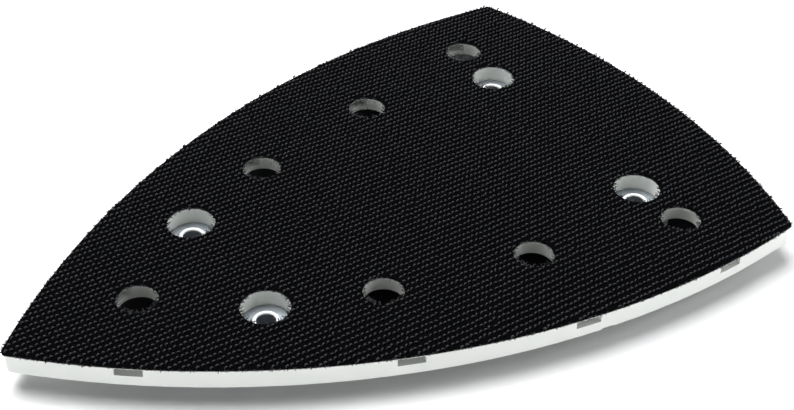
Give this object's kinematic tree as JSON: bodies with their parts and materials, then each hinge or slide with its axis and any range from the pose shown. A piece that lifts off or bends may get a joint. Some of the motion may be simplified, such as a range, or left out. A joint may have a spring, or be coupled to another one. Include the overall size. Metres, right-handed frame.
{
  "type": "sanding pad",
  "caption": "Pointed base plate of a detail sander with a hook face, dust holes, recessed screw seats with metal sleeves and a shallow dust chamber underneath.",
  "frame": {"origin": "under the middle of the pad's outline, in the plane of the four boss ends that stand on the machine", "axes": "+Z out of the hook face, X along the pad with the tip at -X and the curved rear edge at +X, Y across it"},
  "size_m": [0.1536, 0.1044, 0.0088],
  "materials": {
    "moulded_plastic": "satin white moulded nylon",
    "adhesive": "pale pressure-sensitive film",
    "woven_ground": "black woven nylon ground",
    "hooks": "black nylon hooks in rows",
    "zinc_plated_steel": "bright zinc-plated steel"
  },
  "bodies": {
    "root": {"base_plate": "moulded_plastic", "adhesive_film": "adhesive", "hook_backing": "woven_ground", "hook_field": "hooks", "screw_sleeve_front_left": "zinc_plated_steel", "screw_sleeve_front_right": "zinc_plated_steel", "screw_sleeve_rear_left": "zinc_plated_steel", "screw_sleeve_rear_right": "zinc_plated_steel"}
  },
  "joints": []
}
